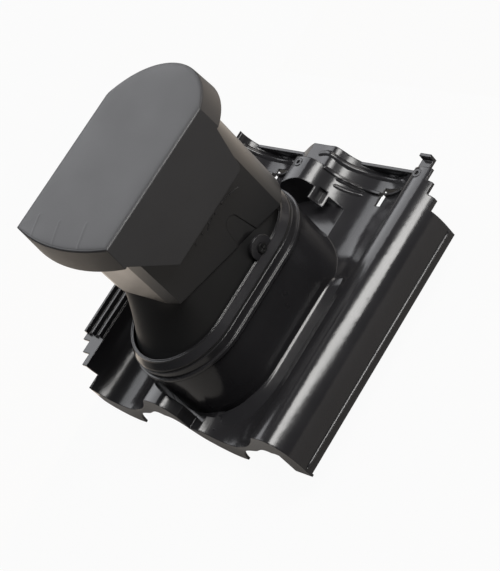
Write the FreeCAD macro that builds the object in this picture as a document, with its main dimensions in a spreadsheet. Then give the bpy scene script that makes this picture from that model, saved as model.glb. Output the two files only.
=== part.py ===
"""Roof tile vent: a double pantile with a collar, and a tilting hood on it.

X runs across the roof, Y up the slope, Z square to the tile. The origin is on
the duct's axis, level with the crests of the tile's rolls. Millimetres.
"""
import FreeCAD, Part
import math
import os
import re

import Sketcher

Vector = FreeCAD.Vector
doc = FreeCAD.newDocument("roof_tile_vent")
sheet = doc.addObject("Spreadsheet::Sheet", "sizes")

SIZES = [
    ("tile_wall", 3.0),
    ("roll_pitch", 206.0),
    ("pan_depth", 57.0),
    ("roll_width", 55.0),
    ("roll_skirt", 51.0),
    ("crest_left", -42.0),
    ("strip_width", 38.0),
    ("strip_level", -9.0),
    ("strip_place", 56.0),
    ("strip_fall", 6.0),
    ("front_edge", -165.0),
    ("head_edge", 245.0),
    ("head_crest", -12.0),
    ("head_step", 1.0),
    ("head_right", 140.0),
    ("head_bar_level", -41.0),
    ("roll_end", 214.0),
    ("last_roll_end", 226.0),
    ("stair_long", 16.0),
    ("stair_wide", 8.0),
    ("corner_long", 55.0),
    ("corner_step", 17.0),
    ("corner_wide", 14.3),
    ("strip_short", 17.0),
    ("bar_rise", 4.5),
    ("bar_thick", 4.0),
    ("bar_from_head", 36.0),
    ("lip_depth", 33.0),
    ("lip_level", -64.0),
    ("rib_rise", 7.0),
    ("rib_width", 3.5),
    ("rib_step", 15.0),
    ("rib_start", 64.0),
    ("moat_level", -47.0),
    ("moat_reach", 7.0),
    ("moat_back", 92.0),
    ("drain_width", 21.0),
    ("drain_place", 17.0),
    ("nail_radius", 2.5),
    ("nail_boss", 6.0),
    ("nail_boss_top", 3.6),
    ("last_boss_top", 5.4),
    ("nail_wall", 5.8),
    ("nail_from_end", 10.0),
    ("nail_from_crest", 12.0),
    ("slot_long", 33.0),
    ("slot_wide", 10.0),
    ("slot_leg", 28.0),
    ("slot_from_head", 23.0),
    ("slot_from_crest", 114.0),
    ("recess_long", 18.0),
    ("recess_wide", 36.0),
    ("recess_from_crest", 48.0),
    ("recess_place", 168.0),
    ("recess_level", -30.0),
    ("hook_wide", 18.0),
    ("hook_long", 16.0),
    ("hook_thick", 4.0),
    ("hook_rise", 9.0),
    ("hook_from_crest", 4.0),
    ("hook_root", 4.5),
    ("lug_wide", 30.0),
    ("lug_drop", 18.0),
    ("lug_thick", 10.0),
    ("lug_from_head", 8.0),
    ("ring_half", 58.0),
    ("ring_bore", 72.0),
    ("ring_rim", 60.0),
    ("ring_wall", 3.8),
    ("ring_flare", 6.4),
    ("ring_height", 11.5),
    ("ring_land", 1.5),
    ("ring_plug", 24.0),
    ("groove_land", 1.2),
    ("groove_deep", 0.8),
    ("seal_thick", 2.5),
    ("seal_width", 2.4),
    ("collar_slack", 0.4),
    ("collar_wall", 3.2),
    ("bead_rise", 3.0),
    ("bead_drop", 16.0),
    ("bead_thick", 5.0),
    ("ear_radius", 16.5),
    ("ear_thick", 4.0),
    ("pivot_ahead", 44.6),
    ("pivot_level", 65.3),
    ("pin_radius", 4.0),
    ("pin_slack", 0.05),
    ("pin_grip", 13.0),
    ("pin_play", 0.2),
    ("pin_head", 6.5),
    ("pin_head_thick", 2.0),
    ("drive_long", 9.0),
    ("drive_wide", 1.6),
    ("drive_deep", 1.0),
    ("shell_slack", 1.6),
    ("shell_wall", 2.4),
    ("shell_bottom", 28.0),
    ("shell_knee", 56.0),
    ("knee_lean", 4.0),
    ("neck_radius", 59.0),
    ("neck_front", -11.0),
    ("neck_back", 61.0),
    ("flange_lift", 3.0),
    ("flange_thick", 2.4),
    ("flange_slack", 0.15),
    ("boss_radius", 9.0),
    ("boss_slack", 0.5),
    ("boss_long", 14.0),
    ("spigot_radius", 62.5),
    ("spigot_wall", 2.5),
    ("spigot_end", -30.0),
    ("spigot_plate", 3.0),
    ("spigot_rim", 8.0),
    ("body_half", 64.5),
    ("body_wall", 2.5),
    ("body_front", -72.0),
    ("body_back", 105.0),
    ("body_tip", 146.0),
    ("body_nose", 5.0),
    ("body_facet", 22.0),
    ("body_low_front", 114.0),
    ("body_low_back", 67.0),
    ("body_top", 232.0),
    ("pocket_low", 44.0),
    ("pocket_high", 22.0),
    ("pocket_rise", 40.0),
    ("pocket_fall", 30.0),
    ("pocket_deep", 1.4),
    ("grille_thick", 2.5),
    ("grille_level", 202.0),
    ("grille_slack", 0.15),
    ("grille_pitch", 9.0),
    ("grille_gap", 6.0),
    ("grille_rim", 12.0),
    ("grille_bar", 4.0),
    ("post_side", 12.0),
    ("post_inset", 4.0),
    ("cap_half", 90.5),
    ("cap_wall", 2.8),
    ("cap_top", 263.0),
    ("cap_front", -93.5),
    ("cap_nose", 14.0),
    ("cap_back", 105.0),
    ("cap_tip", 163.0),
    ("cap_skirt", 36.0),
    ("cap_flare", 3.5),
    ("cap_spread", 1.4),
    ("cap_corner", 2.0),
    ("cap_edge", 2.5),
    ("flap_bottom", 166.0),
    ("flap_front", -47.0),
    ("flap_back", 92.0),
    ("flap_corner", 8.0),
    ("flap_root", 2.0),
    ("flap_overlap", 5.0),
    ("socket_wall", 2.0),
    ("socket_slack", 0.2),
    ("socket_deep", 12.0),
]
for row, (alias, number) in enumerate(SIZES, start=1):
    sheet.set("A%d" % row, alias)
    sheet.set("B%d" % row, str(number))
    sheet.setAlias("B%d" % row, alias)
doc.recompute()


def bound(text):
    """An expression in which each size is read from the sheet."""
    return re.sub(r"[a-z]+(?:_[a-z]+)+", lambda found: "sizes." + found.group(), str(text))


def value(text):
    result = sheet.evalExpression(bound(text))
    return float(getattr(result, "Value", result))


def new_body(name):
    return doc.addObject("PartDesign::Body", name)


def plane(body, role):
    return [item for item in body.Origin.OriginFeatures if item.Role == role][0]


def new_sketch(body, name, role="XY_Plane", level="0"):
    """A sketch on one of its body's own planes, moved along the plane's normal."""
    sketch = body.newObject("Sketcher::SketchObject", name)
    sketch.AttachmentSupport = (plane(body, role), [""])
    sketch.MapMode = "FlatFace"
    sketch.setExpression("AttachmentOffset.Base.z", bound(level))
    return sketch


def bind(sketch, kind, places, text):
    index = sketch.addConstraint(Sketcher.Constraint(kind, *places, value(text)))
    sketch.setExpression("Constraints[%d]" % index, bound(text))


def fix(sketch, edge, end, x, y):
    """Ties one point of a sketch to its distances from the origin."""
    bind(sketch, "DistanceX", (-1, 1, edge, end), x)
    bind(sketch, "DistanceY", (-1, 1, edge, end), y)


def circle(sketch, radius, x="0", y="0"):
    centre = Vector(value(x), value(y), 0)
    edge = sketch.addGeometry(Part.Circle(centre, Vector(0, 0, 1), value(radius)))
    bind(sketch, "Radius", (edge,), radius)
    fix(sketch, edge, 3, x, y)


def stadium(sketch, radius, front="-ring_half", back="ring_half"):
    """Two half circles of one radius on the Y axis, joined by straight sides."""
    reach = value(radius)
    low = value(front)
    high = value(back)
    up = Vector(0, 0, 1)
    near = sketch.addGeometry(Part.ArcOfCircle(Part.Circle(Vector(0, low, 0), up, reach), math.pi, 2 * math.pi))
    right = sketch.addGeometry(Part.LineSegment(Vector(reach, low, 0), Vector(reach, high, 0)))
    far = sketch.addGeometry(Part.ArcOfCircle(Part.Circle(Vector(0, high, 0), up, reach), 0, math.pi))
    left = sketch.addGeometry(Part.LineSegment(Vector(-reach, high, 0), Vector(-reach, low, 0)))
    for first, second in ((near, right), (right, far), (far, left), (left, near)):
        sketch.addConstraint(Sketcher.Constraint("Tangent", first, 2, second, 1))
    for arc, place in ((near, front), (far, back)):
        sketch.addConstraint(Sketcher.Constraint("PointOnObject", arc, 3, -2))
        bind(sketch, "DistanceY", (-1, 1, arc, 3), place)
    bind(sketch, "Radius", (near,), radius)
    sketch.addConstraint(Sketcher.Constraint("Equal", near, far))


def outline(sketch, corners):
    """A closed outline. A corner is (x, y), and two more entries make its next edge an arc through them."""
    points = [Vector(value(corner[0]), value(corner[1]), 0) for corner in corners]
    count = len(corners)
    ends = []
    for index, corner in enumerate(corners):
        start = points[index]
        finish = points[(index + 1) % count]
        if len(corner) == 2:
            edge = sketch.addGeometry(Part.LineSegment(start, finish))
            ends.append(((edge, 1), (edge, 2)))
            continue
        middle = Vector(value(corner[2]), value(corner[3]), 0)
        edge = sketch.addGeometry(Part.Arc(start, middle, finish))
        swapped = sketch.getPoint(edge, 1).distanceToPoint(start) > 1e-3
        ends.append(((edge, 2), (edge, 1)) if swapped else ((edge, 1), (edge, 2)))
        through = sketch.addGeometry(Part.Point(middle), True)
        fix(sketch, through, 1, corner[2], corner[3])
        sketch.addConstraint(Sketcher.Constraint("PointOnObject", through, 1, edge))
    for index, corner in enumerate(corners):
        begin = ends[index][0]
        before = ends[index - 1][1]
        sketch.addConstraint(Sketcher.Constraint("Coincident", *before, *begin))
        fix(sketch, begin[0], begin[1], corner[0], corner[1])


def rectangle(sketch, x_low, x_high, y_low, y_high):
    outline(sketch, [(x_low, y_low), (x_high, y_low), (x_high, y_high), (x_low, y_high)])


def extrude(body, kind, name, sketch, length=None, back=False, both=False):
    """A Pad or a Pocket of a sketch. With no length it goes through all."""
    feature = body.newObject("PartDesign::" + kind, name)
    feature.Profile = sketch
    if length is None:
        feature.Type = "ThroughAll"
    else:
        feature.setExpression("Length", bound(length))
    feature.Reversed = back
    if both:
        feature.SideType = "Symmetric"
    return feature


def loft(body, kind, name, first, second):
    feature = body.newObject("PartDesign::" + kind, name)
    feature.Profile = first
    feature.Sections = [second]
    feature.Ruled = True
    return feature


def mirror(body, name, original, role="YZ_Plane"):
    feature = body.newObject("PartDesign::Mirrored", name)
    feature.Originals = [original]
    feature.MirrorPlane = (plane(body, role), [""])
    body.Tip = feature
    return feature


# Sizes shared by the pieces that fit each other.
RING_OUTER = "(ring_bore + ring_wall)"
FLANGE_OUTER = "(ring_bore + ring_wall + ring_flare)"
PLUG_OUTER = "(ring_bore + ring_wall + ring_flare - seal_width)"
COLLAR_BORE = "(ring_bore + ring_wall + ring_flare - seal_width + collar_slack)"
COLLAR_OUTER = "(ring_bore + ring_wall + ring_flare - seal_width + collar_slack + collar_wall)"
SEAL_TOP = "(ring_rim - ring_height)"
COLLAR_TOP = "(ring_rim - ring_height - seal_thick)"
SHELL_HALF = "(ring_bore - shell_slack)"
SWING = "(ring_half + ring_bore - pivot_ahead - 2 * shell_slack)"
SHELL_BACK = "(pivot_ahead + sqrt(%s ^ 2 - (pivot_level - shell_bottom) ^ 2) - %s)" % (SWING, SHELL_HALF)
BODY_IN = "(body_half - body_wall)"
HEM_SLOPE = "((body_low_back - body_low_front) / (body_back - body_front))"


def hem_at(y):
    """Height of the body's slanting hem at any y."""
    return "(body_low_front + %s * (%s - body_front))" % (HEM_SLOPE, y)


# Collar seal, between the tile's collar and the ring's flange.
def make_seal():
    body = new_body("collar_seal")
    sketch = new_sketch(body, "seal_outline", level=COLLAR_TOP)
    stadium(sketch, FLANGE_OUTER)
    stadium(sketch, PLUG_OUTER)
    extrude(body, "Pad", "seal_pad", sketch, "seal_thick")
    return body


# Ring that plugs into the collar and carries the hood's pivots.
def make_ring():
    body = new_body("collar_ring")
    plug = new_sketch(body, "plug_outline", level=SEAL_TOP + " - ring_plug")
    stadium(plug, PLUG_OUTER)
    extrude(body, "Pad", "plug_pad", plug, "ring_plug")
    low = new_sketch(body, "flange_low", level=SEAL_TOP)
    stadium(low, FLANGE_OUTER)
    high = new_sketch(body, "flange_high", level="ring_rim - ring_land")
    stadium(high, RING_OUTER)
    loft(body, "AdditiveLoft", "flange_loft", low, high)
    land = new_sketch(body, "land_outline", level="ring_rim - ring_land")
    stadium(land, RING_OUTER)
    extrude(body, "Pad", "land_pad", land, "ring_land")
    bore = new_sketch(body, "bore_outline", level="ring_rim")
    stadium(bore, "ring_bore")
    extrude(body, "Pocket", "ring_bore_pocket", bore)
    groove = new_sketch(body, "groove_outline", level="ring_rim")
    stadium(groove, RING_OUTER + " - groove_land")
    stadium(groove, "ring_bore + groove_land")
    extrude(body, "Pocket", "rim_groove", groove, "groove_deep")
    ear = new_sketch(body, "ear_outline", "YZ_Plane", "ring_bore")
    circle(ear, "ear_radius", "pivot_ahead", "pivot_level")
    right_ear = extrude(body, "Pad", "ear_right", ear, "ear_thick")
    mirror(body, "ear_left", right_ear)
    pivot = new_sketch(body, "pivot_outline", "YZ_Plane")
    circle(pivot, "pin_radius + pin_slack", "pivot_ahead", "pivot_level")
    extrude(body, "Pocket", "pivot_bore", pivot, both=True)
    return body


# Lower shell of the hood, which swings inside the ring.
def neck_sketch(body, name, inset, lift):
    """A stadium on the plane of the body's hem."""
    sketch = body.newObject("Sketcher::SketchObject", name)
    sketch.AttachmentSupport = (plane(body, "XY_Plane"), [""])
    sketch.MapMode = "FlatFace"
    sketch.AttachmentOffset = FreeCAD.Placement(Vector(), FreeCAD.Rotation(Vector(1, 0, 0), -10))
    sketch.setExpression("AttachmentOffset.Base.z", bound(hem_at("0") + " + " + lift))
    sketch.setExpression("AttachmentOffset.Rotation.Angle", bound("atan(%s)" % HEM_SLOPE))
    stadium(sketch, "neck_radius - " + inset, "neck_front", "neck_back")
    return sketch


def make_shell():
    body = new_body("duct_shell")
    bend = [("body_front - body_nose", hem_at("(body_front - body_nose)")), ("body_back", "body_low_back"),
            ("body_tip", "body_low_back")]
    lower = [(y, z + " + flange_lift") for y, z in bend]
    upper = [(y, z + " + flange_lift + flange_thick") for y, z in reversed(bend)]
    side = new_sketch(body, "flange_side", "YZ_Plane")
    outline(side, lower + upper)
    extrude(body, "Pad", "flange_pad", side, "2 * body_half", both=True)
    trim = new_sketch(body, "flange_trim", level="0")
    rectangle(trim, "-2 * body_half", "2 * body_half", "-2 * body_tip", "2 * body_tip")
    body_outline(trim, "(body_wall + flange_slack)")
    extrude(body, "Pocket", "flange_trim_pocket", trim, back=True)

    for kind, inset, label in (("AdditiveLoft", "0", "outer"), ("SubtractiveLoft", "shell_wall", "inner")):
        wide = SHELL_HALF + " - " + inset
        low = new_sketch(body, label + "_bottom", level="shell_bottom")
        stadium(low, wide, back=SHELL_BACK)
        knee = new_sketch(body, label + "_knee", level="shell_knee")
        stadium(knee, wide, back=SHELL_BACK + " + knee_lean")
        loft(body, kind, label + "_skirt", low, knee)
        start = new_sketch(body, label + "_shoulder", level="shell_knee")
        stadium(start, wide, back=SHELL_BACK + " + knee_lean")
        neck = neck_sketch(body, label + "_neck", inset, "flange_lift")
        loft(body, kind, label + "_cone", start, neck)
    mouth = neck_sketch(body, "neck_mouth", "shell_wall", "flange_lift")
    extrude(body, "Pocket", "neck_mouth_pocket", mouth, "2 * flange_thick", back=True)

    boss = new_sketch(body, "boss_outline", "YZ_Plane", "ring_bore - boss_slack - boss_long")
    circle(boss, "boss_radius", "pivot_ahead", "pivot_level")
    right_boss = extrude(body, "Pad", "boss_right", boss, "boss_long")
    mirror(body, "boss_left", right_boss)
    pivot = new_sketch(body, "boss_bore_outline", "YZ_Plane")
    circle(pivot, "pin_radius", "pivot_ahead", "pivot_level")
    extrude(body, "Pocket", "boss_bore", pivot, both=True)
    return body


# Round spigot below the shell, for the duct.
def make_spigot():
    body = new_body("duct_spigot")
    plate = new_sketch(body, "plate_outline", level="shell_bottom - spigot_plate")
    stadium(plate, SHELL_HALF, back=SHELL_BACK)
    extrude(body, "Pad", "plate_pad", plate, "spigot_plate")
    rim = new_sketch(body, "rim_outline", level="shell_bottom")
    stadium(rim, SHELL_HALF + " - shell_wall", back=SHELL_BACK)
    stadium(rim, SHELL_HALF + " - 2 * shell_wall", back=SHELL_BACK)
    extrude(body, "Pad", "rim_pad", rim, "spigot_rim")
    pipe = new_sketch(body, "pipe_outline", level="spigot_end")
    circle(pipe, "spigot_radius")
    extrude(body, "Pad", "pipe_pad", pipe, "shell_bottom - spigot_end")
    hole = new_sketch(body, "duct_outline", level="spigot_end")
    circle(hole, "spigot_radius - spigot_wall")
    extrude(body, "Pocket", "duct_bore", hole, back=True)
    return body


# Hood body.
def body_outline(sketch, inset="0"):
    """Flat front with two short facets, straight sides and a round back."""
    half = "(body_half - %s)" % inset
    front = "body_front + " + inset
    nose = front + " - body_nose"
    facet = half + " - body_facet"
    outline(sketch, [("-" + half, front), ("-(%s)" % facet, nose), (facet, nose), (half, front),
                     (half, "body_back", "0", "body_tip - " + inset), ("-" + half, "body_back")])


def make_hood_body():
    body = new_body("hood_body")
    outer = new_sketch(body, "body_outer", level="body_low_back")
    body_outline(outer)
    extrude(body, "Pad", "body_pad", outer, "body_top - body_low_back")
    inner = new_sketch(body, "body_inner", level="body_top")
    body_outline(inner, "body_wall")
    extrude(body, "Pocket", "body_hollow", inner)
    for name, low, high in (("front", "body_front + body_wall + post_inset",
                             "body_front + body_wall + post_inset + post_side"),
                            ("back", "body_back - post_side", "body_back")):
        post = new_sketch(body, name + "_post_outline", level="grille_level + grille_thick")
        rectangle(post, BODY_IN + " - post_side", BODY_IN, low, high)
        right_post = extrude(body, "Pad", name + "_post_right", post,
                             "cap_top - cap_wall - grille_level - grille_thick")
        mirror(body, name + "_post_left", right_post)
    ahead = "(body_front - 2 * body_nose)"
    below = "(body_low_back - body_nose)"
    hem = new_sketch(body, "hem_side", "YZ_Plane")
    outline(hem, [(ahead, below), ("body_back", below), ("body_back", "body_low_back"), (ahead, hem_at(ahead))])
    extrude(body, "Pocket", "hem_cut", hem, both=True)
    top = "(%s + pocket_rise)" % hem_at("pivot_ahead")
    low = "%s - pocket_fall" % hem_at("pivot_ahead")
    shoulder = top + " - pocket_high / 2"
    pocket = new_sketch(body, "pocket_side", "YZ_Plane", "body_half")
    outline(pocket, [("pivot_ahead - pocket_low / 2", low),
                     ("pivot_ahead - pocket_high / 2", shoulder, "pivot_ahead", top),
                     ("pivot_ahead + pocket_high / 2", shoulder),
                     ("pivot_ahead + pocket_low / 2", low)])
    right_pocket = extrude(body, "Pocket", "pocket_right", pocket, "pocket_deep")
    mirror(body, "pocket_left", right_pocket)
    return body


# Insect grille across the body, below the posts.
def make_grille():
    body = new_body("insect_grille")
    plate = new_sketch(body, "grille_outline", level="grille_level")
    body_outline(plate, "(body_wall + grille_slack)")
    extrude(body, "Pad", "grille_plate", plate, "grille_thick")
    low = "(body_front + grille_rim)"
    high = "body_back"
    middle = "((%s + %s) / 2)" % (low, high)
    count = int(2 * value("%s - grille_rim" % BODY_IN) // value("grille_pitch"))
    start = "(-%d * grille_pitch / 2)" % (count - 1)
    slots = new_sketch(body, "slot_outline", level="grille_level + grille_thick")
    for y_low, y_high in ((low, middle + " - grille_bar / 2"), (middle + " + grille_bar / 2", high)):
        rectangle(slots, start + " - grille_gap / 2", start + " + grille_gap / 2", y_low, y_high)
    first = extrude(body, "Pocket", "first_slots", slots)
    doc.recompute()
    row = body.newObject("PartDesign::LinearPattern", "slot_row")
    row.Originals = [first]
    row.Direction = (slots, ["H_Axis"])
    row.Occurrences = count
    row.setExpression("Length", bound("%d * grille_pitch" % (count - 1)))
    body.Tip = row
    return body


# Cap with end skirts, side flaps and sockets for the posts.
def cap_sketch(body, name, level, flare, spread, inset="0", corner="0"):
    """Straight sides and two bowed ends, which flare outward towards the skirt's edge."""
    sketch = new_sketch(body, name, level=level)
    half = "(cap_half - %s)" % inset
    front = "cap_front - %s + %s" % (spread, corner)
    back = "cap_back + " + spread
    nose = "cap_front - cap_nose - %s + %s" % (flare, inset)
    tip = "cap_tip + %s - %s" % (flare, inset)
    outline(sketch, [("-" + half, front, "0", nose), (half, front), (half, back, "0", tip), ("-" + half, back)])
    return sketch


def make_cap():
    body = new_body("hood_cap")
    skirt = "cap_top - cap_skirt"
    low = cap_sketch(body, "cap_low", skirt, "cap_flare", "cap_spread")
    high = cap_sketch(body, "cap_high", "cap_top", "0", "0")
    loft(body, "AdditiveLoft", "cap_block", low, high)
    low = cap_sketch(body, "hollow_low", skirt, "cap_flare", "cap_spread", "cap_wall", "cap_corner")
    high = cap_sketch(body, "hollow_high", "cap_top - cap_wall", "0", "0", "cap_wall", "cap_corner")
    hollow = loft(body, "SubtractiveLoft", "cap_hollow", low, high)
    doc.recompute()
    rim = []
    for index, edge in enumerate(hollow.Shape.Edges, start=1):
        if min(vertex.Point.z for vertex in edge.Vertexes) > value("cap_top") - 0.01:
            rim.append("Edge%d" % index)
    edge_round = body.newObject("PartDesign::Fillet", "cap_edge_round")
    edge_round.Base = (hollow, rim)
    edge_round.setExpression("Radius", bound("cap_edge"))

    flap = new_sketch(body, "flap_side", "YZ_Plane", "cap_half - cap_wall")
    bottom_back = "flap_back - flap_corner"
    turn = "flap_corner * %.4f" % (1 - math.sqrt(0.5))
    outline(flap, [("cap_front + flap_root", skirt), ("flap_front", "flap_bottom"),
                   (bottom_back, "flap_bottom", "flap_back - " + turn, "flap_bottom + " + turn),
                   ("flap_back", "flap_bottom + flap_corner"),
                   ("cap_back - flap_root", skirt), ("cap_back - flap_root", skirt + " + flap_overlap"),
                   ("cap_front + flap_root", skirt + " + flap_overlap")])
    right_flap = extrude(body, "Pad", "flap_right", flap, "cap_wall")
    mirror(body, "flap_left", right_flap)

    for name, y_low, y_high in (("front", "body_front + body_wall + post_inset",
                                 "body_front + body_wall + post_inset + post_side"),
                                ("back", "body_back - post_side", "body_back")):
        socket = new_sketch(body, name + "_socket_outline", level="cap_top - cap_wall")
        for grow in ("(socket_slack + socket_wall)", "socket_slack"):
            rectangle(socket, "%s - post_side - %s" % (BODY_IN, grow), "%s + %s" % (BODY_IN, grow),
                      "%s - %s" % (y_low, grow), "%s + %s" % (y_high, grow))
        right_socket = extrude(body, "Pad", name + "_socket_right", socket, "socket_deep", back=True)
        mirror(body, name + "_socket_left", right_socket)
    return body


# Pivot pins, pressed into the shell's bosses and free to turn in the ears.
def make_pin(name, side):
    body = new_body(name)
    inner = "(ring_bore - boss_slack - pin_grip)"
    under_head = "(ring_bore + ear_thick + pin_play)"
    outer = "(%s + pin_head_thick)" % under_head
    sign = "" if side > 0 else "-"
    half = new_sketch(body, name + "_half", "XY_Plane", "pivot_level")
    outline(half, [(sign + inner, "pivot_ahead"), (sign + inner, "pivot_ahead + pin_radius"),
                   (sign + under_head, "pivot_ahead + pin_radius"), (sign + under_head, "pivot_ahead + pin_head"),
                   (sign + outer, "pivot_ahead + pin_head"), (sign + outer, "pivot_ahead")])
    turned = body.newObject("PartDesign::Revolution", name + "_turned")
    turned.Profile = half
    turned.ReferenceAxis = (half, ["Edge6"])
    turned.Angle = 360.0
    doc.recompute()
    for label, long, high in (("flat", "drive_long", "drive_wide"), ("tall", "drive_wide", "drive_long")):
        drive = new_sketch(body, "%s_drive_%s" % (name, label), "YZ_Plane", sign + outer)
        rectangle(drive, "pivot_ahead - %s / 2" % long, "pivot_ahead + %s / 2" % long,
                  "pivot_level - %s / 2" % high, "pivot_level + %s / 2" % high)
        extrude(body, "Pocket", "%s_recess_%s" % (name, label), drive, "drive_deep", back=side < 0)
    return body


# Values of the shared sizes, for the tile.
PITCH = value("roll_pitch")
DEPTH = value("pan_depth")
CREST_1 = value("crest_left")
CREST_2 = CREST_1 + PITCH
ROLL_RIGHT = CREST_2 + value("roll_width")
STRIP_RIGHT = CREST_1 - PITCH + value("strip_place")
STRIP_LEFT = STRIP_RIGHT - value("strip_width")
FRONT = value("front_edge")
HEAD = value("head_edge")
WALL = value("tile_wall")
UNDERSIDE = -DEPTH - WALL - 1.0
FLOOR = -2.5 * DEPTH
ABOVE = DEPTH

# The pantile's outline across the roof, as shares of the pitch and the pan's depth. One
# wave runs from the sharp left edge of a roll, over the roll and up through the pan.
WAVE_ROLL = [(0.08, 0.05), (0.15, 0.02), (0.20, -0.13), (0.24, -0.36), (0.28, -0.56), (0.34, -0.73)]
WAVE_PAN = [(0.42, -0.88), (0.51, -0.98), (0.60, -0.99), (0.71, -0.86), (0.83, -0.60)]
LAST_ROLL = [(0.25, 0.08), (0.50, 0.08), (0.74, -0.04), (0.91, -0.26), (0.99, -0.55)]
PAN_STARTS = (CREST_1 - PITCH, CREST_1)
PAN_LEFT = 0.22
PAN_RIGHT = 0.82
# The opening that the front lip leaves under a roll, from the roll's sharp edge.
LIP_ARCH = [(-81.0, -92.0), (-38.0, -47.0), (-24.0, -41.0), (-4.0, -29.0), (9.0, -28.0), (20.0, -36.0), (26.0, -56.0)]


def spline(points, y):
    curve = Part.BSplineCurve()
    curve.interpolate([Vector(x, y, z) for x, z in points])
    return curve.toShape()


def box(x_low, x_high, y_low, y_high, z_low, z_high):
    return Part.makeBox(x_high - x_low, y_high - y_low, z_high - z_low, Vector(x_low, y_low, z_low))


def stadium_block(radius, low, high, back=None):
    """The ring's outline as a solid, for the collar and the moat round it."""
    near = -value("ring_half")
    far = value("ring_half") if back is None else back
    points = [Vector(-radius, near, low), Vector(0, near - radius, low), Vector(radius, near, low),
              Vector(radius, far, low), Vector(0, far + radius, low), Vector(-radius, far, low)]
    edges = [Part.Arc(points[0], points[1], points[2]).toShape(), Part.makeLine(points[2], points[3]),
             Part.Arc(points[3], points[4], points[5]).toShape(), Part.makeLine(points[5], points[0])]
    return Part.Face(Part.Wire(edges)).extrude(Vector(0, 0, high - low))


def outline_wire(y, lift=0.0, crest=None):
    """The tile's top across the roof: a flat strip, two waves and the last roll.

    With a crest level the rolls are cut down to it, as they are at the head.
    """
    limit = ABOVE if crest is None else crest
    level = value("strip_level") + lift
    top = min(0.0, limit) + lift

    def place(points, start, span):
        return [(start + u * span, min(v * DEPTH, limit) + lift) for u, v in points]

    strip = Part.makeLine(Vector(STRIP_LEFT, y, level), Vector(STRIP_RIGHT, y, level))
    first = [(STRIP_RIGHT, level), (STRIP_RIGHT + value("strip_fall"), lift - 0.53 * DEPTH)]
    first += place(WAVE_PAN, CREST_1 - PITCH, PITCH) + [(CREST_1, top)]
    middle = [(CREST_1, top)] + place(WAVE_ROLL + WAVE_PAN, CREST_1, PITCH) + [(CREST_2, top)]
    width = value("roll_width")
    last = [(CREST_2, top)] + place(LAST_ROLL, CREST_2, width)
    last += [(CREST_2 + width, -value("roll_skirt") + lift)]
    return Part.Wire([strip, spline(first, y), spline(middle, y), spline(last, y)])


def inner_wire(wire, drop, y):
    """The same outline, one wall thickness in, as plain splines and lines."""
    runs = []
    for edge in wire.makeOffset2D(-drop, 2, False, True, False).OrderedEdges:
        straight = edge.Length < 2 * drop or edge.BoundBox.ZLength < 0.001
        runs.append([(point.x, point.z) for point in edge.discretize(Number=2 if straight else 12)])
    joined = []
    for index, points in enumerate(runs):
        if index:
            last = runs[index - 1][-1]
            if math.dist(points[0], last) > math.dist(points[-1], last):
                points.reverse()
            points[0] = last
        if len(points) > 2:
            joined.append(spline(points, y))
            continue
        ends = [Vector(x, y, z) for x, z in points]
        joined.append(Part.makeLine(ends[0], ends[1]))
    return Part.Wire(joined)


def below(wire, y, length, floor, reach=0.0):
    """The solid under an open wire across the roof, down to a floor level."""
    corners = wire.OrderedVertexes
    first = corners[0].Point
    last = corners[-1].Point
    left = Vector(first.x - reach, y, first.z)
    low_left = Vector(left.x, y, floor)
    low_right = Vector(last.x, y, floor)
    edges = list(wire.OrderedEdges)
    if reach:
        edges.append(Part.makeLine(left, first))
    edges.append(Part.makeLine(left, low_left))
    edges.append(Part.makeLine(low_left, low_right))
    edges.append(Part.makeLine(low_right, last))
    closed = Part.Wire(Part.__sortEdges__(edges))
    return Part.Face(closed).extrude(Vector(0, length, 0))


def wave_block(drop, start, stop, crest=None):
    """One stretch of the tile's block, or of the hollow under it when drop is the wall."""
    lift = 0.0 if crest is None else -value("head_step")
    wire = outline_wire(start, lift, crest)
    if not drop:
        return below(wire, start, stop - start, FLOOR)
    return below(inner_wire(wire, drop, start), start, stop - start, FLOOR, 7 * drop)


def skin_solid(drop):
    """Everything below the tile's top: waves, lowered head, moat, drain and collar."""
    lowered = value("roll_end") - drop
    last = value("last_roll_end") + drop
    solid = wave_block(drop, FRONT - 2 * drop, last)
    middle = value("head_right")
    solid = solid.cut(box(STRIP_LEFT - 10 * WALL, middle, lowered, HEAD, FLOOR - 1, ABOVE))
    head = wave_block(drop, lowered, HEAD + 2 * drop, value("head_crest"))
    beyond = box(middle + drop, ROLL_RIGHT + 10 * WALL, lowered - 1, HEAD + 2 * drop + 1, FLOOR - 1, ABOVE)
    solid = solid.fuse(head.cut(beyond))
    reach = value("moat_reach") + drop
    level = value("moat_level") - drop
    moat = stadium_block(value(COLLAR_OUTER) + reach, level, ABOVE, value("moat_back"))
    place = value("drain_place")
    reach = value("drain_width") / 2 + drop
    drain = box(place - reach, place + reach, FRONT - 2 * drop - 1, 0, level, ABOVE)
    solid = solid.cut(moat.fuse(drain))
    if drop:
        under = box(STRIP_LEFT, ROLL_RIGHT + 7 * drop, FRONT - 2 * drop, HEAD + 2 * drop, FLOOR, UNDERSIDE)
        return solid.fuse([under, stadium_block(value(COLLAR_BORE), FLOOR, ABOVE)])
    return solid.fuse(stadium_block(value(COLLAR_OUTER), FLOOR, value(COLLAR_TOP)))


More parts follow.
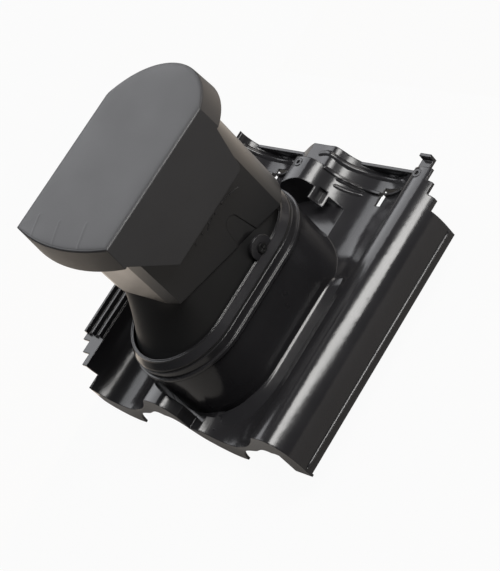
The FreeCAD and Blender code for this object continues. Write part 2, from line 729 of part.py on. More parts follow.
def front_lip():
    """The apron that hangs from the front edge, open at the drain."""
    drop = value("lip_depth")
    band = below(outline_wire(FRONT), FRONT, WALL, FLOOR)
    band = band.cut(below(outline_wire(FRONT - 1, -drop), FRONT - 1, WALL + 2, FLOOR - 10, 5.0))
    arches = []
    for crest in (CREST_1, CREST_2):
        line = [(crest + x, z) for x, z in LIP_ARCH]
        roof = spline(line, FRONT - 1)
        corners = [(line[-1][0], FLOOR), (line[0][0], FLOOR)]
        ends = [Vector(x, FRONT - 1, z) for x, z in [line[-1]] + corners + [line[0]]]
        sides = [Part.makeLine(first, second) for first, second in zip(ends, ends[1:])]
        arches.append(Part.Face(Part.Wire([roof] + sides)).extrude(Vector(0, WALL + 2, 0)))
    edge = CREST_2 + LIP_ARCH[-1][0]
    level = value("lip_level")
    arches.append(box(edge - 1, ROLL_RIGHT + 5, FRONT - 1, FRONT + WALL + 1, 2 * FLOOR, level))
    place = value("drain_place")
    reach = value("drain_width") / 2
    arches.append(box(place - reach, place + reach, FRONT - 1, FRONT + WALL + 1, value("moat_level"), ABOVE))
    end = below(outline_wire(FRONT), FRONT, WALL, level).common(box(edge, ROLL_RIGHT, FRONT, HEAD, level, ABOVE))
    return band.cut(arches).fuse(end)


def side_ribs():
    ribs = []
    level = value("strip_level")
    for index in range(3):
        x = STRIP_LEFT + 1.0 + index * value("rib_step")
        start = FRONT + value("rib_start")
        ribs.append(box(x, x + value("rib_width"), start, HEAD, level - 0.8 * WALL, level + value("rib_rise")))
    return ribs


def weather_bars():
    """Bars across each pan at the head: a level one at the edge and a low one inside it."""
    bars = []
    thick = value("bar_thick")
    crest = value("head_crest")
    for from_head, rise in ((thick, DEPTH), (value("bar_from_head"), value("bar_rise"))):
        y = HEAD - from_head
        lowered = crest if y > value("roll_end") else None
        under = below(outline_wire(y - 1, -WALL / 2, lowered), y - 1, thick + 2, FLOOR - 10, 5.0)
        for start in PAN_STARTS:
            left = start + PAN_LEFT * PITCH
            right = start + PAN_RIGHT * PITCH
            bar = box(left, right, y, y + thick, UNDERSIDE, value("head_bar_level"))
            if rise < DEPTH:
                bar = below(outline_wire(y, rise), y, thick, FLOOR).common(box(left, right, y, y + thick, FLOOR, ABOVE))
            bars.append(bar.cut(under))
    return bars


def nail_places():
    """Centre and top level of the boss round each nail hole, at the end of a roll."""
    along = value("nail_from_crest")
    back = value("nail_from_end")
    return [(CREST_1 + along, value("roll_end") - back, value("nail_boss_top")),
            (CREST_2 + along, value("last_roll_end") - back, value("last_boss_top"))]


def tile_extras():
    """What is raised on the skin or hangs from it."""
    extras = [front_lip()] + side_ribs() + weather_bars()
    bead_low = value(COLLAR_TOP) - value("bead_drop")
    bead_high = bead_low + value("bead_thick")
    bead = stadium_block(value(COLLAR_OUTER) + value("bead_rise"), bead_low, bead_high)
    extras.append(bead.cut(stadium_block(value(COLLAR_BORE) + WALL / 2, bead_low - 1, bead_high + 1)))
    x = CREST_2 + value("hook_from_crest")
    wide = value("hook_wide")
    y = value("last_roll_end")
    tip = y + value("hook_long")
    thick = value("hook_thick")
    extras.append(box(x, x + wide, y - value("hook_root"), tip, -WALL, -WALL + thick))
    extras.append(box(x, x + wide, tip - thick, tip, -WALL, value("hook_rise")))
    high = HEAD - value("lug_from_head")
    for start in PAN_STARTS:
        x = start + 0.55 * PITCH - value("lug_wide") / 2
        extras.append(box(x, x + value("lug_wide"), high - value("lug_thick"), high,
                          UNDERSIDE - value("lug_drop"), UNDERSIDE + WALL))
    for x, y, top in nail_places():
        extras.append(Part.makeCylinder(value("nail_boss"), value("nail_wall"), Vector(x, y, top - value("nail_wall"))))
    x = CREST_1 + value("recess_from_crest")
    y = value("recess_place")
    tray = box(x - WALL, x + value("recess_wide") + WALL, y - WALL, y + value("recess_long") + WALL,
               value("recess_level") - WALL, ABOVE)
    extras.append(tray.common(below(outline_wire(FRONT), FRONT, HEAD - FRONT, FLOOR)))
    return extras


def tile_cuts():
    """Steps at two corners, the slots and recess at the head, and the nail holes."""
    cuts = []
    for index in range(3):
        x = STRIP_LEFT + (index + 1) * value("corner_wide")
        y = FRONT + value("corner_long") - index * value("corner_step")
        cuts.append(box(STRIP_LEFT - 5, x, FRONT - 5, y, FLOOR, ABOVE))
    cuts.append(box(STRIP_LEFT - 5, STRIP_RIGHT, HEAD - value("strip_short"), HEAD + 5, FLOOR, ABOVE))
    last = value("last_roll_end")
    for index in range(3):
        x = ROLL_RIGHT - (3 - index) * value("stair_wide")
        cuts.append(box(x, ROLL_RIGHT + 5, last - (index + 1) * value("stair_long"), HEAD + 5, FLOOR, ABOVE))
    for start in PAN_STARTS:
        x = start + value("slot_from_crest")
        y = HEAD - value("slot_from_head")
        wide = value("slot_wide")
        cuts.append(box(x, x + value("slot_long"), y - wide, y, FLOOR, 0))
        cuts.append(box(x, x + wide, y - value("slot_leg"), y, FLOOR, 0))
    x = CREST_1 + value("recess_from_crest")
    y = value("recess_place")
    cuts.append(box(x, x + value("recess_wide"), y, y + value("recess_long"), value("recess_level"), ABOVE))
    for x, y, top in nail_places():
        cuts.append(Part.makeCylinder(value("nail_radius"), 2 * DEPTH, Vector(x, y, -DEPTH)))
    return cuts


def make_tile():
    shape = skin_solid(0.0).cut(skin_solid(WALL)).fuse(tile_extras()).cut(tile_cuts())
    solids = sorted(shape.Solids, key=lambda item: item.Volume)
    print("tile solids", [round(item.Volume) for item in solids])
    tile = doc.addObject("Part::Feature", "base_tile")
    tile.Shape = solids[-1]
    tile.Placement = FreeCAD.Placement()
    return tile


NODES = [make_tile(), make_seal(), make_ring(), make_shell(), make_spigot(), make_hood_body(),
         make_grille(), make_cap(), make_pin("pivot_pin_right", 1), make_pin("pivot_pin_left", -1)]
doc.recompute()
for obj in NODES:
    obj.Label = obj.Name
for obj in doc.Objects:
    if "Invalid" in obj.State or "Error" in obj.State:
        raise SystemExit("failed feature: " + obj.Name)
os.makedirs("parts", exist_ok=True)
for obj in NODES:
    shape = obj.Shape
    if shape.isNull() or not shape.isValid():
        raise SystemExit("invalid solid: " + obj.Name)
    print(obj.Label, len(shape.Solids), round(shape.Volume), shape.BoundBox)
for obj in NODES:
    obj.Shape.exportStep("parts/" + obj.Label + ".step")
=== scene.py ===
"""Roof tile vent: a glossy moulded tile with a collar, and a matte tilting hood."""
import math

import bpy
import numpy as np
from mathutils import Matrix, Vector
from mathutils.bvhtree import BVHTree


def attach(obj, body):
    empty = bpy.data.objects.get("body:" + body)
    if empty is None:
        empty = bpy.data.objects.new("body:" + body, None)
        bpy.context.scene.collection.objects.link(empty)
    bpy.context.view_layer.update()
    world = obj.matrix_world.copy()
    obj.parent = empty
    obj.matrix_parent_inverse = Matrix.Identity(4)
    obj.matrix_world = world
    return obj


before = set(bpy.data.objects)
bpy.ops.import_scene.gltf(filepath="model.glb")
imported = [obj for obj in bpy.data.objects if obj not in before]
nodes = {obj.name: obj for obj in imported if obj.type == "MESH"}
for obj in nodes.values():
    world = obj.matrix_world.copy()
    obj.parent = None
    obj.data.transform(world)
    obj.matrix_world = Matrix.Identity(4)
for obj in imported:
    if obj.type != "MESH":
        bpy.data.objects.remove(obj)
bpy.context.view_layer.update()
MM = 0.001


# Camera at the photograph's angle. Rows: right, down and forward.
CAMERA_AXES = ((0.647269, 0.512182, -0.564546),
               (0.166404, -0.8177, -0.551068),
               (-0.743877, 0.262747, -0.614501))
CAMERA_PLACE = (1.69323, -0.5715, 1.38556)
CAMERA_LENS = 114.38

camera_data = bpy.data.cameras.new("camera")
camera_data.lens = CAMERA_LENS
camera_data.sensor_width = 36.0
camera_data.sensor_fit = "AUTO"
camera_data.clip_end = 50.0
camera = bpy.data.objects.new("camera", camera_data)
bpy.context.scene.collection.objects.link(camera)
right, down, forward = (Vector(axis) for axis in CAMERA_AXES)
turn = Matrix((right, -down, -forward)).transposed().to_4x4()
camera.matrix_world = Matrix.Translation(CAMERA_PLACE) @ turn
bpy.context.scene.camera = camera


# Materials.
def new_material(name):
    material = bpy.data.materials.new(name)
    material.use_nodes = True
    return material, material.node_tree, material.node_tree.nodes["Principled BSDF"]


def noise(tree, scale, detail=3.0, rough=0.5):
    coords = tree.nodes.new("ShaderNodeTexCoord")
    node = tree.nodes.new("ShaderNodeTexNoise")
    node.inputs["Scale"].default_value = scale
    node.inputs["Detail"].default_value = detail
    node.inputs["Roughness"].default_value = rough
    tree.links.new(coords.outputs["Object"], node.inputs["Vector"])
    return node


def ramp(tree, source, low, high):
    """The source's middle range mapped to low..high, a number each."""
    node = tree.nodes.new("ShaderNodeMapRange")
    node.inputs["From Min"].default_value = 0.3
    node.inputs["From Max"].default_value = 0.7
    node.inputs["To Min"].default_value = low
    node.inputs["To Max"].default_value = high
    tree.links.new(source, node.inputs["Value"])
    return node.outputs["Result"]


def shades(tree, source, dark, light):
    """A colour that wanders between two."""
    node = tree.nodes.new("ShaderNodeMix")
    node.data_type = "RGBA"
    node.inputs["A"].default_value = (*dark, 1.0)
    node.inputs["B"].default_value = (*light, 1.0)
    tree.links.new(ramp(tree, source, 0.0, 1.0), node.inputs["Factor"])
    return node.outputs["Result"]


def plastic(name, dark, light, rough_low, rough_high, grain_scale, grain_depth, specular, edge):
    """Moulded plastic: clouded colour and gloss, fine grain, and softly rounded edges."""
    material, tree, shader = new_material(name)
    cloud = noise(tree, 14.0)
    grain = noise(tree, grain_scale, 2.0, 0.6)
    tree.links.new(shades(tree, cloud.outputs["Fac"], dark, light), shader.inputs["Base Color"])
    tree.links.new(ramp(tree, cloud.outputs["Fac"], rough_low, rough_high), shader.inputs["Roughness"])
    shader.inputs["Specular IOR Level"].default_value = specular
    soft = tree.nodes.new("ShaderNodeBevel")
    soft.samples = 6
    soft.inputs["Radius"].default_value = edge
    relief = tree.nodes.new("ShaderNodeBump")
    relief.inputs["Strength"].default_value = 0.35
    relief.inputs["Distance"].default_value = grain_depth
    tree.links.new(grain.outputs["Fac"], relief.inputs["Height"])
    tree.links.new(soft.outputs["Normal"], relief.inputs["Normal"])
    tree.links.new(relief.outputs["Normal"], shader.inputs["Normal"])
    return material


MATERIALS = {
    "tile_gloss": plastic("tile_gloss", (0.0155, 0.015, 0.0165), (0.019, 0.0185, 0.020),
                          0.15, 0.21, 260.0, 0.00003, 0.5, 0.0022),
    "hood_matte": plastic("hood_matte", (0.018, 0.0178, 0.019), (0.022, 0.0217, 0.023),
                          0.44, 0.52, 1500.0, 0.00012, 0.5, 0.0012),
    "shell_matte": plastic("shell_matte", (0.006, 0.006, 0.0063), (0.008, 0.0079, 0.008),
                           0.42, 0.50, 1500.0, 0.00006, 0.30, 0.0010),
    "seal_rubber": plastic("seal_rubber", (0.006, 0.006, 0.006), (0.009, 0.009, 0.009),
                           0.6, 0.75, 900.0, 0.0001, 0.4, 0.0004),
    "grille_plastic": plastic("grille_plastic", (0.012, 0.012, 0.013), (0.016, 0.016, 0.017),
                              0.4, 0.5, 700.0, 0.0001, 0.5, 0.0004)}
MATERIALS["body_satin"] = plastic("body_satin", (0.008, 0.0078, 0.0082), (0.010, 0.0098, 0.0102),
                                  0.27, 0.33, 1500.0, 0.00005, 0.5, 0.0012)
FINISH = {"base_tile": "tile_gloss", "collar_ring": "tile_gloss", "collar_seal": "seal_rubber",
          "duct_shell": "shell_matte", "duct_spigot": "shell_matte", "hood_body": "body_satin",
          "insect_grille": "grille_plastic", "hood_cap": "hood_matte",
          "pivot_pin_right": "shell_matte", "pivot_pin_left": "shell_matte"}
for name, finish in FINISH.items():
    mesh = nodes[name].data
    mesh.materials.clear()
    mesh.materials.append(MATERIALS[finish])


# Mesh helpers. Points are in millimetres.
def new_piece(name, points, faces, body, finish, smooth=True):
    mesh = bpy.data.meshes.new(name)
    mesh.from_pydata([tuple(c * MM for c in point) for point in points], [], faces)
    mesh.validate()
    if smooth:
        mesh.shade_smooth()
    piece = bpy.data.objects.new(name, mesh)
    bpy.context.scene.collection.objects.link(piece)
    mesh.materials.append(MATERIALS[finish])
    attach(piece, body)
    return piece


def band(loops, closed=True):
    """Points and faces of a skin through loops of equal length, each joined to the next."""
    count = len(loops[0])
    points = [tuple(point) for loop in loops for point in loop]
    faces = []
    for row in range(len(loops) - 1):
        for index in range(count if closed else count - 1):
            after = (index + 1) % count
            faces.append((row * count + index, row * count + after,
                          (row + 1) * count + after, (row + 1) * count + index))
    return points, faces


def stadium(radius, front, back, steps=48):
    """Points round a stadium, from the right side's front end towards the back."""
    points = []
    for index in range(steps + 1):
        angle = math.pi * index / steps
        points.append((radius * math.cos(angle), back + radius * math.sin(angle)))
    for index in range(steps + 1):
        angle = math.pi + math.pi * index / steps
        points.append((radius * math.cos(angle), front + radius * math.sin(angle)))
    return points


def even(loop, count):
    """The same closed loop, with points at even distances from its first."""
    loop = np.array(loop, float)
    ring = np.vstack([loop, loop[:1]])
    along = np.concatenate([[0.0], np.cumsum(np.hypot(*np.diff(ring, axis=0).T))])
    marks = np.linspace(0.0, along[-1], count, endpoint=False)
    return np.stack([np.interp(marks, along, ring[:, axis]) for axis in range(2)], axis=1)


def smoothed(loop, rounds):
    for _ in range(rounds):
        loop = 0.5 * loop + 0.25 * (np.roll(loop, 1, axis=0) + np.roll(loop, -1, axis=0))
    return loop


# Skin of the lower shell: round where it enters the ring, and as wide as the body at its hem.
BODY_HALF = 64.5
BODY_FRONT = -72.0
BODY_BACK = 105.0
BODY_TIP = 146.0
HEM_FRONT = 114.0
HEM_BACK = 67.0
HEM_SLOPE = (HEM_BACK - HEM_FRONT) / (BODY_BACK - BODY_FRONT)
PIVOT = (44.6, 65.3)


def hem(y):
    return np.where(y < BODY_BACK, HEM_FRONT + HEM_SLOPE * (y - BODY_FRONT), HEM_BACK)


def body_loop(inset, count):
    half = BODY_HALF - inset
    front = BODY_FRONT + inset
    corners = [(half, -20.0), (half, BODY_BACK)]
    arc_rise = BODY_TIP - inset - BODY_BACK
    radius = (half ** 2 + arc_rise ** 2) / (2 * arc_rise)
    centre = BODY_TIP - inset - radius
    reach = math.atan2(half, BODY_BACK - centre)
    for index in range(1, 41):
        angle = reach - 2 * reach * index / 40
        corners.append((radius * math.sin(angle), centre + radius * math.cos(angle)))
    corners += [(-half, front), (-(half - 22.0), front - 5.0), (half - 22.0, front - 5.0), (half, front)]
    return even(corners, count)


COWL_POINTS = 240
SHELL_RADIUS = 70.9
SHELL_FRONT = -58.0
SHELL_BACK = 51.4
SHELL_KNEE = 56.0


def matched(loop, centre, count):
    """The loop's points at even angles about a centre."""
    loop = np.array(loop, float)
    angles = np.unwrap(np.arctan2(loop[:, 1] - centre, loop[:, 0]))
    order = np.argsort(angles)
    angles = angles[order]
    loop = loop[order]
    wanted = np.linspace(angles[0], angles[0] + 2 * math.pi, count, endpoint=False)
    return np.stack([np.interp(wanted, angles, loop[:, axis], period=2 * math.pi) for axis in range(2)], axis=1)


def make_cowl():
    centre = 0.0
    low = even(stadium(SHELL_RADIUS, SHELL_FRONT, SHELL_BACK), 1200)
    high = smoothed(body_loop(3.0, 1200), 900)
    angles = np.linspace(0.0, 2 * math.pi, COWL_POINTS, endpoint=False)

    def at_angles(loop):
        own = np.arctan2(loop[:, 1] - centre, loop[:, 0])
        return np.stack([np.interp(angles, np.sort(own % (2 * math.pi)),
                                   loop[np.argsort(own % (2 * math.pi)), axis], period=2 * math.pi)
                         for axis in range(2)], axis=1)

    low = at_angles(low)
    high = at_angles(high)
    top = hem(high[:, 1]) + 2.5
    loops = []
    for inset in (0.0, 1.6):
        side = []
        for share in np.linspace(0.0, 1.0, 25):
            bulge = 0.5 * math.sin(math.pi * share) ** 2
            plan = low + (high - low) * share
            length = np.hypot(plan[:, 0], plan[:, 1] - centre)
            plan = plan + (plan - (0.0, centre)) / length[:, None] * (bulge - inset)
            height = SHELL_KNEE - 2.0 + (top - SHELL_KNEE + 2.0) * share
            side.append(np.column_stack([plan, height]))
        loops += side if inset == 0.0 else side[::-1]
    loops.append(loops[0])
    points, faces = band(loops)
    return new_piece("shell_cowl", points, faces, "hood", "shell_matte")


make_cowl()


# Crown on the cap: the flat top swells softly, with three faint flow lines at its front.
CAP_HALF = 90.5
CAP_FRONT = -93.5
CAP_NOSE = 14.0
CAP_BACK = 105.0
CAP_TIP = 163.0
CAP_TOP = 263.0
CROWN_RISE = 1.1
FLOW_LINES = [((-62.2, -71.1), (-52.5, -102.6)), ((-18.6, -73.7), (-6.5, -105.6)), ((29.9, -68.1), (40.9, -101.0))]


def bow(half, base, rise, x):
    radius = (half ** 2 + rise ** 2) / (2 * rise)
    return base + rise - radius + np.sqrt(radius ** 2 - x ** 2)


def make_crown():
    across = 181
    along = 201
    inset = 2.6
    half = CAP_HALF - inset
    points = []
    for column in range(across):
        x = half * math.sin(math.pi / 2 * (2.0 * column / (across - 1) - 1.0))
        low = -bow(CAP_HALF, -CAP_FRONT, CAP_NOSE, x) + inset
        high = bow(CAP_HALF, CAP_BACK, CAP_TIP - CAP_BACK, x) - inset
        for row in range(along):
            y = low + (high - low) * 0.5 * (1.0 - math.cos(math.pi * row / (along - 1)))
            edge = min(half - abs(x), y - low, high - y)
            rise = CROWN_RISE * (1.0 - math.exp(-edge / 9.0))
            for (ax, ay), (bx, by) in FLOW_LINES:
                span = np.array((bx - ax, by - ay))
                share = float(np.clip(((x - ax) * span[0] + (y - ay) * span[1]) / span.dot(span), 0.0, 1.0))
                far = math.hypot(x - ax - share * span[0], y - ay - share * span[1])
                rise += 0.42 * math.exp(-(far / 1.2) ** 2)
            points.append((x, y, CAP_TOP + rise))
    faces = [(c * along + r, (c + 1) * along + r, (c + 1) * along + r + 1, c * along + r + 1)
             for c in range(across - 1) for r in range(along - 1)]
    rim = [c * along for c in range(across)]
    rim += [(across - 1) * along + r for r in range(1, along)]
    rim += [c * along + along - 1 for c in range(across - 2, -1, -1)]
    rim += [r for r in range(along - 2, 0, -1)]
    first = len(points)
    points += [(points[i][0], points[i][1], CAP_TOP - 0.4) for i in rim]
    for k in range(len(rim)):
        after = (k + 1) % len(rim)
        faces.append((rim[after], rim[k], first + k, first + after))
    faces.append(tuple(first + k for k in range(len(rim))))
    return new_piece("cap_crown", points, faces, "hood", "hood_matte")


make_crown()


# Tilt scale on the body's sides: a row of studs and two short guide arcs.
def button(x, y, z, radius, height, sign, rings=20):
    """A low domed stud on a face that looks along X."""
    points = [(sign * (x + height), y, z)]
    faces = []
    for level, (out, lift) in enumerate(((0.45, 0.95), (0.8, 0.7), (1.0, 0.25), (1.04, -0.3))):
        for k in range(rings):
            angle = 2 * math.pi * k / rings
            points.append((sign * (x + lift * height), y + out * radius * math.cos(angle),
                           z + out * radius * math.sin(angle)))
        start = 1 + level * rings
        for k in range(rings):
            after = (k + 1) % rings
            if level == 0:
                faces.append((0, start + k, start + after))
            else:
                faces.append((start - rings + k, start + k, start + after, start - rings + after))
    faces.append(tuple(1 + 3 * rings + k for k in reversed(range(rings))))
    if sign < 0:
        faces = [tuple(reversed(face)) for face in faces]
    return points, faces


def merged(parts):
    points = []
    faces = []
    for more, shapes in parts:
        start = len(points)
        points += more
        faces += [tuple(start + i for i in face) for face in shapes]
    return points, faces


SCALE_LEVEL = 143.3
SCALE_STUDS = [(-6.2 + 14.6 * k, SCALE_LEVEL) for k in range(5)] + [(68.4, 140.6)]


def make_scale(sign, name):
    parts = [button(BODY_HALF, y, z, 1.7, 0.7, sign) for y, z in SCALE_STUDS]
    for radius, low, high in ((79.5, 62.0, 84.0), (79.5, 100.0, 112.0)):
        loops = []
        for k in range(13):
            angle = math.radians(low + (high - low) * k / 12)
            ring = []
            for j in range(10):
                turn_angle = 2 * math.pi * j / 10
                reach = radius + 0.8 * math.cos(turn_angle)
                ring.append((sign * (BODY_HALF + 0.55 * math.sin(turn_angle)), PIVOT[0] + reach * math.cos(angle),
                             PIVOT[1] + reach * math.sin(angle)))
            loops.append(ring if sign < 0 else ring[::-1])
        points, faces = band(loops)
        faces.append(tuple(range(10)))
        faces.append(tuple(reversed(range(120, 130))))
        parts.append((points, faces))
    points, faces = merged(parts)
    return new_piece(name, points, faces, "hood", "hood_matte")


make_scale(1.0, "tilt_scale_right")
make_scale(-1.0, "tilt_scale_left")


# Mouldings on the tile: soft ribs at the head, a lip round the moat, and a bead on the right edge.
tile_mesh = nodes["base_tile"].data
tile_tree = BVHTree.FromPolygons([vertex.co / MM for vertex in tile_mesh.vertices],
                                 [tuple(polygon.vertices) for polygon in tile_mesh.polygons])
SKY = 400.0
SINK = 1.2
ROLL_PITCH = 206.0
HEAD_RIBS = (
    (((-24.0, 230.0), (-10.0, 234.0), (5.6, 231.0), (17.0, 231.0), (34.2, 233.5), (54.7, 235.0), (74.0, 236.5),
      (101.0, 234.5)), 5.0, 2.6),
    (((12.4, 207.4), (20.0, 208.6), (30.6, 209.2), (50.0, 208.4)), 3.4, 2.0),
    (((13.3, 198.6), (22.9, 198.9), (34.6, 200.2), (49.8, 203.0)), 3.4, 2.0))


def level(x, y):
    """Height of the tile's top surface."""
    place = tile_tree.ray_cast(Vector((x, y, SKY)), Vector((0.0, 0.0, -1.0)))[0]
    return None if place is None else place.z


def softened(path, step):
    """The path at even steps, with its corners eased and its ends kept."""
    path = np.array(path, float)
    along = np.concatenate([[0.0], np.cumsum(np.linalg.norm(np.diff(path, axis=0), axis=1))])
    marks = np.linspace(0.0, along[-1], max(int(along[-1] / step), 8))
    line = np.stack([np.interp(marks, along, path[:, axis]) for axis in range(path.shape[1])], axis=1)
    for _ in range(12):
        line[1:-1] = 0.5 * line[1:-1] + 0.25 * (line[:-2] + line[2:])
    return line


def rib(path, half, rise):
    """A soft rib on the tile's surface, rounded down at both ends."""
    line = softened(path, 1.5)
    heading = np.gradient(line, axis=0)
    heading /= np.linalg.norm(heading, axis=1)[:, None]
    across = np.linspace(-1.0, 1.0, 13)
    count = len(line)
    tops = np.zeros((count, len(across)))
    places = np.zeros((count, len(across), 2))
    blunt = 7.0 / 1.5
    for row in range(count):
        near = min(row, count - 1 - row) / blunt
        ease = math.sqrt(max(0.0, 1.0 - (1.0 - min(near, 1.0)) ** 2))
        side = np.array((-heading[row][1], heading[row][0])) * half * (0.35 + 0.65 * ease)
        for column, share in enumerate(across):
            places[row, column] = line[row] + side * share
            ground = level(*places[row, column])
            tops[row, column] = np.nan if ground is None else ground
    low = np.nanmin(tops)
    tops = np.where(np.isnan(tops), low, tops)
    middle = tops[:, len(across) // 2:len(across) // 2 + 1]
    tops = np.clip(tops, middle - 4.0, middle + 4.0)
    for _ in range(4):
        tops[1:-1] = 0.5 * tops[1:-1] + 0.25 * (tops[:-2] + tops[2:])
    loops = []
    for row in range(count):
        near = min(row, count - 1 - row) / blunt
        ease = math.sqrt(max(0.0, 1.0 - (1.0 - min(near, 1.0)) ** 2))
        bump = -0.25 + (rise + 0.25) * np.cos(0.5 * math.pi * across) ** 1.4 * ease
        upper = [(x, y, z) for (x, y), z in zip(places[row], tops[row] + bump)]
        under = [(x, y, z - SINK) for (x, y), z in zip(places[row][::-1], tops[row][::-1])]
        loops.append(upper + under)
    points, faces = band(loops)
    size = len(loops[0])
    faces.append(tuple(range(size)))
    faces.append(tuple(reversed(range((count - 1) * size, count * size))))
    return points, faces


def make_ribs():
    parts = []
    for path, half, rise in HEAD_RIBS:
        for shift in (0.0, -ROLL_PITCH):
            moved = [(max(x + shift, -222.0), y) for x, y in path]
            parts.append(rib(moved, half, rise))
    points, faces = merged(parts)
    return new_piece("head_ribs", points, faces, "tile", "tile_gloss")


make_ribs()

MOAT_FRONT = -58.0
MOAT_BACK = 62.0
LIP_TOP = -43.3
LIP_INSIDE = ((82.4, -51.5), (84.0, -49.8), (85.6, -47.8), (86.8, -46.0))
LIP_BEAD = ((87.4, -44.6), (87.8, -43.8), (88.3, -43.4), (88.8, -43.3), (89.3, -43.6), (89.8, -44.2), (90.2, -44.8))
LIP_FOOT = 102.5
LIP_BURIED = 5.0


def make_lip():
    """A beaded lip along the moat's right edge, hollowed towards the collar and sloping out to the pan."""
    stations = [((0.0, MOAT_FRONT), (math.cos(angle), math.sin(angle)))
                for angle in np.radians(np.linspace(-66.0, 0.0, 40))]
    stations += [((0.0, y), (1.0, 0.0)) for y in np.linspace(MOAT_FRONT, MOAT_BACK, 60)[1:]]
    stations += [((0.0, MOAT_BACK), (math.cos(angle), math.sin(angle)))
                 for angle in np.radians(np.linspace(0.0, 14.0, 11))[1:]]
    grounds = np.array([level(cx + LIP_FOOT * nx, cy + LIP_FOOT * ny) for (cx, cy), (nx, ny) in stations])
    for _ in range(6):
        grounds[1:-1] = 0.5 * grounds[1:-1] + 0.25 * (grounds[:-2] + grounds[2:])
    loops = []
    count = len(stations)
    for index, ((cx, cy), (nx, ny)) in enumerate(stations):
        near = min(index, count - 1 - index) / 15.0
        sunk = 1.0 - math.sqrt(max(0.0, 1.0 - (1.0 - min(near, 1.0)) ** 2))
        ground = grounds[index] - 1.5 * sunk
        shift = min(0.0, ground + 12.0 - LIP_TOP) - 9.0 * sunk
        profile = [(r, z + shift) for r, z in LIP_INSIDE + LIP_BEAD]
        start, height = 90.8, -45.2 + shift
        slope = (ground - height) / (LIP_FOOT - start)
        for reach in np.linspace(0.0, LIP_FOOT + LIP_BURIED - start, 10):
            profile.append((start + reach, height + slope * reach))
        bottom = min(profile[-1][1], profile[0][1]) - 1.0
        profile.append((profile[-1][0], bottom))
        profile.append((profile[0][0], bottom))
        loops.append([(cx + r * nx, cy + r * ny, z) for r, z in reversed(profile)])
    points, faces = band(loops)
    size = len(loops[0])
    faces.append(tuple(reversed(range(size))))
    faces.append(tuple(range((count - 1) * size, count * size)))
    faces = [tuple(reversed(face)) for face in faces]
    return new_piece("moat_lip", points, faces, "tile", "tile_gloss")


make_lip()


def tube(path, radius, sides=12):
    """A round bar along Y through the path's points, with domed ends."""
    loops = []
    count = len(path)
    for index, (x, y, z) in enumerate(path):
        near = min(index, count - 1 - index) / 3.0
        size = radius * math.sqrt(max(0.02, 1.0 - (1.0 - min(near, 1.0)) ** 2))
        loops.append([(x + size * math.cos(2 * math.pi * k / sides), y, z + size * math.sin(2 * math.pi * k / sides))
                      for k in range(sides)])
    points, faces = band(loops)
    faces.append(tuple(range(sides)))
    faces.append(tuple(reversed(range((count - 1) * sides, count * sides))))
    return points, faces


EDGE_X = 219.4
EDGE_Z = -49.6
points, faces = tube([(EDGE_X, y, EDGE_Z) for y in np.linspace(-163.0, 177.0, 115)], 2.0)
new_piece("edge_bead", points, [tuple(reversed(face)) for face in faces], "tile", "tile_gloss")


# Floor and lights.
FLOOR_LEVEL = -0.0905
FLOOR_HALF = 12.0
floor_mesh = bpy.data.meshes.new("floor")
floor_mesh.from_pydata([(-FLOOR_HALF, -FLOOR_HALF, FLOOR_LEVEL), (FLOOR_HALF, -FLOOR_HALF, FLOOR_LEVEL),
                        (FLOOR_HALF, FLOOR_HALF, FLOOR_LEVEL), (-FLOOR_HALF, FLOOR_HALF, FLOOR_LEVEL)],
                       [], [(0, 1, 2, 3)])
floor = bpy.data.objects.new("floor", floor_mesh)
bpy.context.scene.collection.objects.link(floor)

floor_material = bpy.data.materials.new("floor")
floor_material.use_nodes = True
tree = floor_material.node_tree
tree.nodes.clear()
output = tree.nodes.new("ShaderNodeOutputMaterial")
diffuse = tree.nodes.new("ShaderNodeBsdfDiffuse")
diffuse.inputs["Color"].default_value = (0.26, 0.25, 0.24, 1.0)
path = tree.nodes.new("ShaderNodeLightPath")
mix = tree.nodes.new("ShaderNodeMixShader")
lit = tree.nodes.new("ShaderNodeMixShader")
for rays, colour, share_of_white, target in (
        (("Is Camera Ray",), (1.0, 1.0, 1.0), 0.95, lit),
        (("Is Glossy Ray", "Is Transmission Ray"), (1.0, 0.93, 0.86), 0.15, mix)):
    white = tree.nodes.new("ShaderNodeEmission")
    white.inputs["Color"].default_value = (*colour, 1.0)
    white.inputs["Strength"].default_value = 1.0
    share = tree.nodes.new("ShaderNodeMath")
    share.operation = "MULTIPLY"
    share.inputs[1].default_value = share_of_white
    seen = path.outputs[rays[0]]
    if len(rays) > 1:
        either = tree.nodes.new("ShaderNodeMath")
        either.operation = "MAXIMUM"
        tree.links.new(path.outputs[rays[0]], either.inputs[0])
        tree.links.new(path.outputs[rays[1]], either.inputs[1])
        seen = either.outputs["Value"]
    tree.links.new(seen, share.inputs[0])
    tree.links.new(share.outputs["Value"], target.inputs["Fac"])
    tree.links.new(white.outputs["Emission"], target.inputs[2])
tree.links.new(diffuse.outputs["BSDF"], mix.inputs[1])
tree.links.new(mix.outputs["Shader"], lit.inputs[1])
tree.links.new(lit.outputs["Shader"], output.inputs["Surface"])
floor_mesh.materials.append(floor_material)

world = bpy.data.worlds.new("studio")
bpy.context.scene.world = world
world.use_nodes = True
background = world.node_tree.nodes["Background"]
background.inputs["Color"].default_value = (0.93, 0.95, 1.0, 1.0)
background.inputs["Strength"].default_value = 0.10


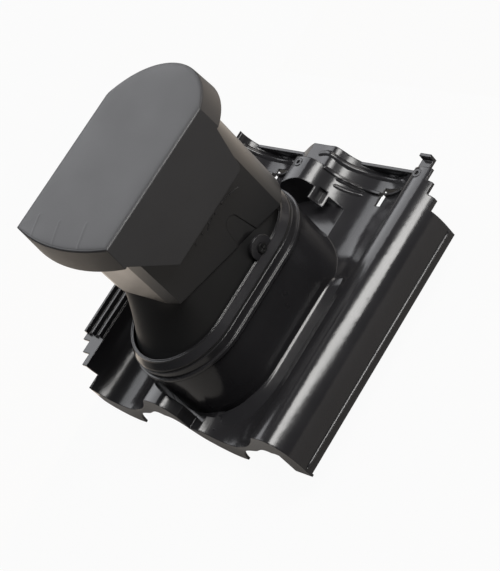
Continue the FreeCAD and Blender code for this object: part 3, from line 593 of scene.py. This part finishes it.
def softbox(name, direction, distance, wide, high, watts, colour=(1.0, 1.0, 1.0)):
    """An area lamp in a direction from the object, facing it."""
    light = bpy.data.lights.new(name, "AREA")
    light.shape = "RECTANGLE"
    light.size = wide
    light.size_y = high
    light.energy = watts
    light.color = colour
    lamp = bpy.data.objects.new(name, light)
    bpy.context.scene.collection.objects.link(lamp)
    away = Vector(direction).normalized()
    lamp.location = away * distance
    lamp.rotation_mode = "QUATERNION"
    lamp.rotation_quaternion = away.to_track_quat("Z", "Y")
    return lamp


softbox("lamp_back", (-0.74, 0.27, 0.61), 2.6, 2.6, 2.2, 48.0, (0.96, 0.97, 1.0))
softbox("lamp_strip", (0.50, 0.27, 0.82), 2.0, 0.62, 1.8, 49.0, (1.0, 0.99, 0.97))
softbox("lamp_rear", (0.10, 0.90, 0.42), 2.4, 1.5, 0.9, 12.0, (1.0, 0.94, 0.88))


# Warm white cards on the floor, which the camera doesn't see: the object's low faces pick them up.
CARDS = {"card_left": (((-0.62, -0.55), (-0.24, -0.55), (-0.24, 0.10), (-0.62, 0.10)), 1.45),
         "card_behind": (((-0.30, 0.40), (0.30, 0.40), (0.30, 0.85), (-0.30, 0.85)), 1.2)}
CARD_COLOUR = (1.0, 0.88, 0.76, 1.0)
for name, (corners, strength) in CARDS.items():
    card_mesh = bpy.data.meshes.new(name)
    card_mesh.from_pydata([(x, y, FLOOR_LEVEL + 0.001) for x, y in corners], [], [(0, 1, 2, 3)])
    card = bpy.data.objects.new(name, card_mesh)
    bpy.context.scene.collection.objects.link(card)
    card.visible_camera = False
    card_material = bpy.data.materials.new(name)
    card_material.use_nodes = True
    tree = card_material.node_tree
    tree.nodes.clear()
    output = tree.nodes.new("ShaderNodeOutputMaterial")
    glow = tree.nodes.new("ShaderNodeEmission")
    glow.inputs["Color"].default_value = CARD_COLOUR
    glow.inputs["Strength"].default_value = strength
    tree.links.new(glow.outputs["Emission"], output.inputs["Surface"])
    card_mesh.materials.append(card_material)

bpy.context.scene.view_settings.view_transform = "Standard"
